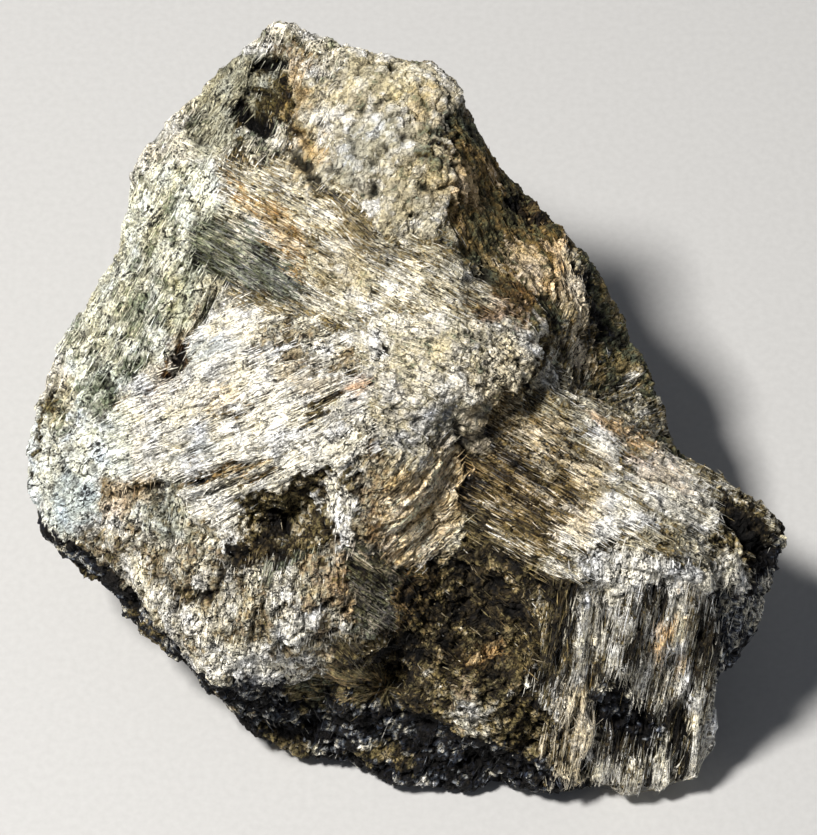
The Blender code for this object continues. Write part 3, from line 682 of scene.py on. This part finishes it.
def shapeSkin(mesh, placed):
    points = readNumbers(mesh.vertices, "co", 3).astype(float)
    places = toFace(points)
    survey = surveySkin(places, placed)
    survey["outward"] = readNumbers(mesh.vertex_normals, "vector", 3).astype(float)
    print("skin: surveyed")
    height, luck = brokenRelief(places, survey)
    front = smoothStep(-0.3, 0.2, survey["outward"] @ faceTurn[:, 2])
    seam = survey["seam"] * front
    points = stand(mesh, points, height + seam)
    fine = fineRelief(places, survey)
    points = stand(mesh, points, fine)
    depth = fine / 0.5 + height * 0.3 + np.minimum(seam, 0) * 0.8
    size, swell = toneSet["swell"]
    paleness = toneSet["middle"] + luck + swell * roughAt(places, size, 61)
    # painted light on high places and painted shade in low ones
    paleness += toneSet["raisedLight"] * depth
    size, least, gritty = toneSet["salt"]
    paleness += (least + gritty * survey["grit"]) * roughAt(places, size, 14.2)
    # painted highlight on the blades that stand out
    paleness += toneSet["blade"] * np.clip(survey["seam"], 0, 1)
    survey["paleness"] = paleness
    # painted shade: the colour is darkened in low places and cracks
    whole, end, least = toneSet["recessShade"]
    unshaded = smoothStep(whole, end, depth)[:, None]
    survey["tint"] = coloursFor(survey["kind"], paleness) * (least + (1 - least) * unshaded)
    size, warmth = toneSet["warmth"]
    survey["stain"] *= 1 + roughAt(places, size, 5.3)[:, None] * warmth
    survey["tint"] *= survey["stain"]
    print("skin: shaped")
    return points, survey


def paintPoints(mesh, name, kind, values):
    layer = mesh.attributes.new(name, kind, "POINT")
    key = {"FLOAT": "value", "FLOAT_VECTOR": "vector", "FLOAT_COLOR": "color"}[kind]
    if kind == "FLOAT_COLOR":
        values = np.concatenate((np.clip(values, 0, 1), np.ones((len(values), 1))), 1)
    layer.data.foreach_set(key, np.asarray(values, np.float32).ravel())


def cutSkin(skin):
    # the skin in three pieces that meet edge to edge
    u = toFace(readNumbers(skin.polygons, "center", 3))[:, 0]
    front = readNumbers(skin.attributes["open"].data, "value", 1, np.int32) == 1
    left = u < np.median(u[front])
    pieces = {"stoneSkinLeft": front & left, "stoneSkinRight": front & ~left,
              "stoneSkinBack": ~front}
    items = []
    for name, kept in pieces.items():
        part = bmesh.new()
        part.from_mesh(skin)
        part.faces.ensure_lookup_table()
        others = [part.faces[i] for i in np.flatnonzero(~kept)]
        bmesh.ops.delete(part, geom=others, context="FACES")
        mesh = meshFrom(part, name)
        print("skin:", name, "triangles", len(mesh.loop_triangles))
        items.append(linkPiece(name, mesh))
    return items


strandSet = {
    "count": {"shoulder": 12000, "sweep": 9500, "slope": 7000, "back": 4000},
    "longest": 1.4,      # of the usual length, however long the planks are
    "length": (1.2, 4.6), "width": (0.1, 0.28),  # mm
    "flat": 0.55,        # thickness as a share of width
    "rings": 3, "sides": 3,
    "stray": 2.5,        # degrees that splinters lie off their bundle
    "wild": (0.03, 5),   # share that lie well off it, by how many times as much
    "loose": (0.03, (0.2, 0.8)),  # share with one end standing up, and how far, mm
    "cling": 0.2,        # mm that one may stand off the skin or sink in where it bridges bumps
    "paler": (0.06, 0.17),  # how much paler than the skin they are, and how varied
}


def splinterShape():
    # a straight splinter along +X, three sided, with its ends drawn in; x from -0.5 to 0.5
    shape = bmesh.new()
    bmesh.ops.create_cone(shape, cap_ends=True, segments=strandSet["sides"],
                          radius1=0.5, radius2=0.5, depth=1)
    bmesh.ops.rotate(shape, verts=shape.verts, matrix=Matrix.Rotation(math.pi / 2, 3, "Y"))
    for i in range(1, strandSet["rings"] - 1):
        cut = i / (strandSet["rings"] - 1) - 0.5
        everything = shape.verts[:] + shape.edges[:] + shape.faces[:]
        bmesh.ops.bisect_plane(shape, geom=everything, plane_co=(cut, 0, 0), plane_no=(1, 0, 0))
    for vert in shape.verts:
        taper = 1 - 0.8 * abs(2 * vert.co.x) ** 2.4
        vert.co.y *= taper
        vert.co.z *= taper
    bmesh.ops.triangulate(shape, faces=shape.faces)
    bmesh.ops.recalc_face_normals(shape, faces=shape.faces)
    return asArrays(shape)


def pickSpots(draw, corners, points, weights, count):
    # random places on the skin's triangles, more where the weights are high
    a, b, c = points[corners[:, 0]], points[corners[:, 1]], points[corners[:, 2]]
    area = np.linalg.norm(np.cross(b - a, c - a), axis=1)
    chance = area * weights[corners].mean(1)
    chosen = draw.choice(len(corners), count, p=chance / chance.sum())
    r1, r2 = np.sqrt(draw.random(count)), draw.random(count)
    spots = (a[chosen] * (1 - r1)[:, None] + b[chosen] * (r1 * (1 - r2))[:, None]
             + c[chosen] * (r1 * r2)[:, None])
    return spots, corners[chosen, 0]


def joinCopies(name, points, triangles, tintEach):
    # one mesh of many copies; points is copies x shape points x 3, in metres
    copies, each = points.shape[:2]
    faces = (triangles[None] + (np.arange(copies) * each)[:, None, None]).reshape(-1, 3)
    mesh = bpy.data.meshes.new(name)
    mesh.from_pydata(insideBox(points.reshape(-1, 3)).tolist(), [], faces.tolist())
    paintPoints(mesh, "tint", "FLOAT_COLOR", np.repeat(tintEach, each, 0))
    print(name + ":", copies, "copies,", len(faces), "triangles")
    return linkPiece(name, mesh)


def layStrands(name, draw, tree, corners, points, survey, weights, count):
    # split splinters laid along the fibre directions, each bent to follow the skin
    spots, nearest = pickSpots(draw, corners, points, weights, count)
    shape, triangles = splinterShape()
    outward = survey["outward"][nearest]
    along = slideAlong(survey["axis"][nearest], outward @ faceTurn) @ faceTurn.T
    across = np.cross(outward, along)
    wildShare, wilder = strandSet["wild"]
    wild = np.where(draw.random(count) < wildShare, wilder, 1)
    stray = np.radians(draw.normal(0, strandSet["stray"], count) * wild)[:, None]
    along = along * np.cos(stray) + across * np.sin(stray)
    length = draw.uniform(*strandSet["length"], count) * mm
    length *= np.minimum(survey["long"][nearest], strandSet["longest"])
    width = draw.uniform(*strandSet["width"], count) * mm
    looseShare, looseLift = strandSet["loose"]
    loose = (draw.random(count) < looseShare) * draw.uniform(*looseLift, count) * mm
    flip = draw.choice((-1, 1), count)

    cling = strandSet["cling"] * mm
    steps = np.linspace(-0.5, 0.5, strandSet["rings"])
    spine = np.empty((count, len(steps), 3))
    for k, step in enumerate(steps):
        straight = spots + along * (step * length)[:, None]
        for i, place in enumerate(straight.tolist()):
            near, normal, _, _ = tree.find_nearest(place)
            above = min(max((Vector(place) - near).dot(normal), -cling), cling)
            lift = loose[i] * max(step * flip[i], 0) ** 2 * 4
            spine[i, k] = near + normal * (above + lift)
    ahead = unit(np.gradient(spine, axis=1))
    side = unit(np.cross(outward[:, None], ahead))
    up = np.cross(ahead, side)
    ring = np.rint((shape[:, 0] + 0.5) * (len(steps) - 1)).astype(int)
    roll = draw.uniform(0, 2 * math.pi, count)[:, None]
    y = shape[:, 1] * np.cos(roll) - shape[:, 2] * np.sin(roll)
    z = shape[:, 1] * np.sin(roll) + shape[:, 2] * np.cos(roll)
    body = (spine[:, ring] + side[:, ring] * (y * width[:, None])[:, :, None]
            + up[:, ring] * (z * width[:, None] * strandSet["flat"])[:, :, None])
    paler, varied = strandSet["paler"]
    paleness = survey["paleness"][nearest] + paler + draw.normal(0, varied, count)
    tint = coloursFor(survey["kind"][nearest], paleness) * survey["stain"][nearest]
    return joinCopies(name, body, triangles, tint)


crumbSet = {
    "count": 2600,
    "size": (0.14, 0.42),    # mm
    "stretch": (0.6, 1.5),   # how uneven their sides are, and how far each corner is knocked
    "knock": (0.75, 1.2),
    "varied": 0.2,           # how their paleness varies
}


def layCrumbs(draw, corners, points, survey, weights):
    # hard grains that stand on the granular ground
    grain = bmesh.new()
    bmesh.ops.create_icosphere(grain, subdivisions=1, radius=0.5)
    shape, triangles = asArrays(grain)
    count = crumbSet["count"]
    spots, nearest = pickSpots(draw, corners, points, weights, count)
    size = draw.uniform(*crumbSet["size"], count) * mm
    stretch = draw.uniform(*crumbSet["stretch"], (count, 1, 3))
    knock = draw.uniform(*crumbSet["knock"], (count, len(shape), 1))
    body = spots[:, None] + shape[None] * stretch * knock * size[:, None, None]
    paleness = survey["paleness"][nearest] + draw.normal(0, crumbSet["varied"], count)
    tint = coloursFor(survey["kind"][nearest], paleness) * survey["stain"][nearest]
    return joinCopies("rockCrumbs", body, triangles, tint)


def addNode(tree, kind, settings=None, stops=(), out=0, **links):
    # one node with its settings, its colour stops and the links into it; a name in lower case
    # sets the node, and a number or any other name sets one of its sockets; gives its output
    node = tree.nodes.new("ShaderNode" + kind)
    for key, value in (settings or {}).items():
        if isinstance(key, str) and key[0].islower():
            setattr(node, key, value)
        else:
            node.inputs[key].default_value = value
    for i, (place, value) in enumerate(stops):
        ends = node.color_ramp.elements
        end = ends[i] if i < len(ends) else ends.new(place)
        end.position = place
        end.color = (value, value, value, 1)
    for key, source in links.items():
        slot = int(key[1:]) if key[1:].isdigit() else key
        tree.links.new(source, node.inputs[slot])
    return node.outputs[out]


def startFinish(name):
    finish = bpy.data.materials.new(name)
    finish.use_nodes = True
    return finish, finish.node_tree, finish.node_tree.nodes["Principled BSDF"]


def massiveRock():
    # Massive chrysotile and serpentine, as broken: talc-white and cream grains against dark
    # serpentine specks, silky streaks where bundles lie in it, dull, and darker in every groove
    # from the painted shade in its tint.
    finish, tree, shader = startFinish("massive chrysotile, broken")
    place = addNode(tree, "TexCoord", out="Object")
    painted = {"tint": "Color", "strandPlace": "Vector", "silky": "Fac", "grit": "Fac"}
    tint, own, silky, grit = (
        addNode(tree, "Attribute", {"attribute_name": name}, out=socket)
        for name, socket in painted.items())

    cluster = addNode(tree, "TexNoise", {"Scale": 1 / 0.0035, "Detail": 3.0},
                      Vector=place)  # specks gather in patches 3.5 mm wide
    busy = addNode(tree, "MapRange", {"From Min": 0.42, "From Max": 0.56, "To Min": 0.5},
                   Value=cluster)  # and between those it lies clean
    gritty, streaky = (
        addNode(tree, "Math", {"operation": "MULTIPLY"}, n0=trait, n1=busy)
        for trait in (grit, silky))
    grain = addNode(tree, "TexNoise", {"Scale": 1 / 0.00055, "Detail": 5.0, "Roughness": 0.75},
                    Vector=place)  # half-millimetre grains and the dust on them
    grainTone = addNode(tree, "ValToRGB", stops=((0.37, 0.06), (0.47, 0.85), (0.60, 1.8)),
                        Fac=grain)
    grained = addNode(tree, "MixRGB", {"blend_type": "MULTIPLY"}, Color1=tint, Fac=gritty,
                      Color2=grainTone)
    stretched = addNode(tree, "VectorMath", {"operation": "MULTIPLY", 1: (0.3, 4.0, 0.6)},
                        n0=own)  # streaks 0.25 mm across
    streak = addNode(tree, "TexNoise", {"Scale": 1.0, "Detail": 4.0, "Roughness": 0.65},
                     Vector=stretched)
    streakTone = addNode(tree, "ValToRGB", stops=((0.37, 0.08), (0.48, 0.85), (0.61, 2.0)),
                         Fac=streak)
    streaked = addNode(tree, "MixRGB", {"blend_type": "MULTIPLY"}, Fac=streaky, Color1=grained,
                       Color2=streakTone)
    dust = addNode(tree, "TexNoise", {"Scale": 1 / 0.0004, "Detail": 2.0},
                   Vector=place)  # each speck under half a millimetre
    clustered = addNode(tree, "Math", {"operation": "MULTIPLY_ADD", 1: 0.6}, n0=cluster, n2=dust)
    jolt = addNode(tree, "TexNoise", {"Scale": 1 / 0.0014, "Detail": 3.0},
                   out="Color", Vector=place)
    bent = addNode(tree, "VectorMath", {"operation": "MULTIPLY_ADD", 1: (2.0, 1.4, 1.4)},
                   n0=jolt, n2=own)
    cell = addNode(tree, "VectorMath", {"operation": "MULTIPLY", 1: (0.22, 0.7, 0.5)},
                   n0=bent)  # between cracks 4.5 mm along by 1.4 mm across
    gap = addNode(tree, "TexVoronoi", {"feature": "DISTANCE_TO_EDGE", "Scale": 1.0}, Vector=cell)
    opened = addNode(tree, "MapRange", {"From Min": 0.74, "From Max": 0.94, "To Min": 0.004,
                                        "To Max": 0.13}, Value=clustered)
    beside = addNode(tree, "Math", {"operation": "DIVIDE"}, n0=gap, n1=opened)
    crackTone = addNode(tree, "ValToRGB", stops=((0.3, 0.06), (1.0, 1.0)), Fac=beside)
    brittle = addNode(tree, "MapRange", {"From Min": 0.2, "From Max": 0.7}, Value=grit)
    cracked = addNode(tree, "MixRGB", {"blend_type": "MULTIPLY"}, Fac=brittle, Color1=streaked,
                      Color2=crackTone)
    speck = addNode(tree, "ValToRGB", stops=((0.66, 0.97), (0.72, 0.0)), Fac=clustered)
    speckGrit = addNode(tree, "Math", {"operation": "MULTIPLY"}, n0=speck, n1=grit)
    specked = addNode(tree, "MixRGB", {"Color2": (*shades["speck"], 1)}, Color1=cracked,
                      Fac=speckGrit)
    tree.links.new(specked, shader.inputs["Base Color"])

    shader.inputs["Specular IOR Level"].default_value = 0.2  # broken rock traps most of its shine
    rough = addNode(tree, "MapRange", {"To Min": 0.8, "To Max": 0.5}, Value=silky)
    tree.links.new(rough, shader.inputs["Roughness"])
    grainBump = addNode(tree, "Bump", {"Strength": 0.8, "Distance": 0.0003}, Height=grain)
    streakBump = addNode(tree, "Bump", {"Distance": 0.00025}, Height=streak, Strength=silky,
                         Normal=grainBump)
    crackBump = addNode(tree, "Bump", {"Strength": 0.7, "Distance": 0.0004},
                        Height=crackTone, Normal=streakBump)
    tree.links.new(crackBump, shader.inputs["Normal"])
    return finish


def silkyStrand():
    # Chrysotile fibre, split along its length: silky, with a soft bright line along each one.
    finish, tree, shader = startFinish("chrysotile fibre, split")
    place = addNode(tree, "TexCoord", out="Object")
    tint = addNode(tree, "Attribute", {"attribute_name": "tint"})
    wear = addNode(tree, "TexNoise", {"Scale": 1 / 0.0008, "Detail": 5.0, "Roughness": 0.7},
                   Vector=place)
    wearTone = addNode(tree, "ValToRGB", stops=((0.36, 0.2), (0.47, 0.9), (0.62, 1.5)), Fac=wear)
    worn = addNode(tree, "MixRGB", {"blend_type": "MULTIPLY", "Fac": 1.0}, Color1=tint,
                   Color2=wearTone)
    tree.links.new(worn, shader.inputs["Base Color"])
    shader.inputs["Roughness"].default_value = 0.45
    shader.inputs["IOR"].default_value = 1.55
    shader.inputs["Specular IOR Level"].default_value = 0.4
    bump = addNode(tree, "Bump", {"Strength": 0.5, "Distance": 0.0001}, Height=wear)
    tree.links.new(bump, shader.inputs["Normal"])
    return finish


def palePaper():
    # Matt seamless paper: an even pale ground with the faintest tooth.
    finish, tree, shader = startFinish("seamless paper, matt")
    place = addNode(tree, "TexCoord", out="Object")
    tooth = addNode(tree, "TexNoise", {"Scale": 1 / 0.0012, "Detail": 3.0}, Vector=place)
    tone = addNode(tree, "ValToRGB", stops=((0.3, 0.6), (0.7, 0.64)), Fac=tooth)
    tree.links.new(tone, shader.inputs["Base Color"])
    shader.inputs["Roughness"].default_value = 0.9
    return finish


def claim(item, finish):
    item.data.materials.clear()
    item.data.materials.append(finish)
    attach(item, "root")
    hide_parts("chrysotile")


def buildStone():
    skin = evenSkin()
    points, survey = shapeSkin(skin, placeRegions(skin))
    paintPoints(skin, "tint", "FLOAT_COLOR", survey["tint"])
    paintPoints(skin, "strandPlace", "FLOAT_VECTOR", survey["own"])
    for key in ("silky", "grit"):
        paintPoints(skin, key, "FLOAT", survey[key])
    rock = massiveRock()
    for item in cutSkin(skin):
        claim(item, rock)

    draw = np.random.default_rng(5)
    corners = readNumbers(skin.loop_triangles, "vertices", 3, np.int32)
    tree = BVHTree.FromPolygons(points.tolist(), corners.tolist())
    front = smoothStep(-0.25, 0.1, survey["outward"] @ faceTurn[:, 2])
    offFloor = smoothStep(0.8 * mm, 2.5 * mm, points[:, 2])
    silky = survey["silky"] ** 2.5 * offFloor
    u, v, _ = toFace(points).T
    right = smoothStep(-1, 1, u - 14 + v * 0.2)  # of a line that leans left
    upper = smoothStep(-1, 1, v - 10)
    groups = {
        "shoulder": front * right,
        "sweep": front * (1 - right) * upper,
        "slope": front * (1 - right) * (1 - upper),
        "back": 1 - front,
    }
    fibre = silkyStrand()
    for name, share in groups.items():
        claim(layStrands(name + "Strands", draw, tree, corners, points, survey, silky * share,
                         strandSet["count"][name]), fibre)
    grainy = np.clip(survey["knob"] + 0.5 * survey["pit"] - 0.4 * survey["silky"], 0, 2)
    grainy *= offFloor
    claim(layCrumbs(draw, corners, points, survey, grainy * (0.25 + 0.75 * front)), fibre)
    bpy.data.meshes.remove(skin)


def layFloor():
    paper = bmesh.new()
    bmesh.ops.create_grid(paper, x_segments=2, y_segments=2, size=3)
    floor = linkPiece("paperFloor", meshFrom(paper, "paperFloor"))
    floor.data.materials.append(palePaper())


studio = {
    "keyFrom": (-0.42, 0.38, 0.83), "keyReach": 0.9, "keySize": 0.14, "keyPower": 11.3,
    "keyColour": (1.0, 0.97, 0.92),
    "fillFrom": (0.8, -0.5, 0.6), "fillReach": 1.1, "fillSize": 0.9, "fillPower": 0.6,
    "fillColour": (0.78, 0.85, 1.0),
    "sky": (0.7, 0.74, 0.82, 1), "skyStrength": 0.12,
    "cameraReach": 0.742, "lens": 200,
}


def hangLight(name):
    lamp = bpy.data.lights.new(name, "AREA")
    lamp.size = studio[name + "Size"]
    lamp.energy = studio[name + "Power"]
    lamp.color = studio[name + "Colour"]
    away = Vector(faceTurn @ np.array(studio[name + "From"])).normalized()
    item = linkPiece(name, lamp)
    item.location = Vector((0, 0, faceLift)) + away * studio[name + "Reach"]
    item.rotation_euler = away.to_track_quat("Z", "Y").to_euler()


def setStudio():
    hangLight("key")
    hangLight("fill")
    world = bpy.data.worlds.new("studioAir")
    world.use_nodes = True
    air = world.node_tree.nodes["Background"]
    air.inputs["Color"].default_value = studio["sky"]
    air.inputs["Strength"].default_value = studio["skyStrength"]
    scene = bpy.context.scene
    scene.world = world
    scene.view_settings.view_transform = "Standard"
    lens = bpy.data.cameras.new("camera")
    lens.lens = studio["lens"]
    lens.sensor_width = 36
    camera = linkPiece("camera", lens)
    camera.matrix_world = faceFrame @ Matrix.Translation((0, 0, studio["cameraReach"]))
    scene.camera = camera


buildStone()
layFloor()
setStudio()
print("studio: floor, lights and camera set")
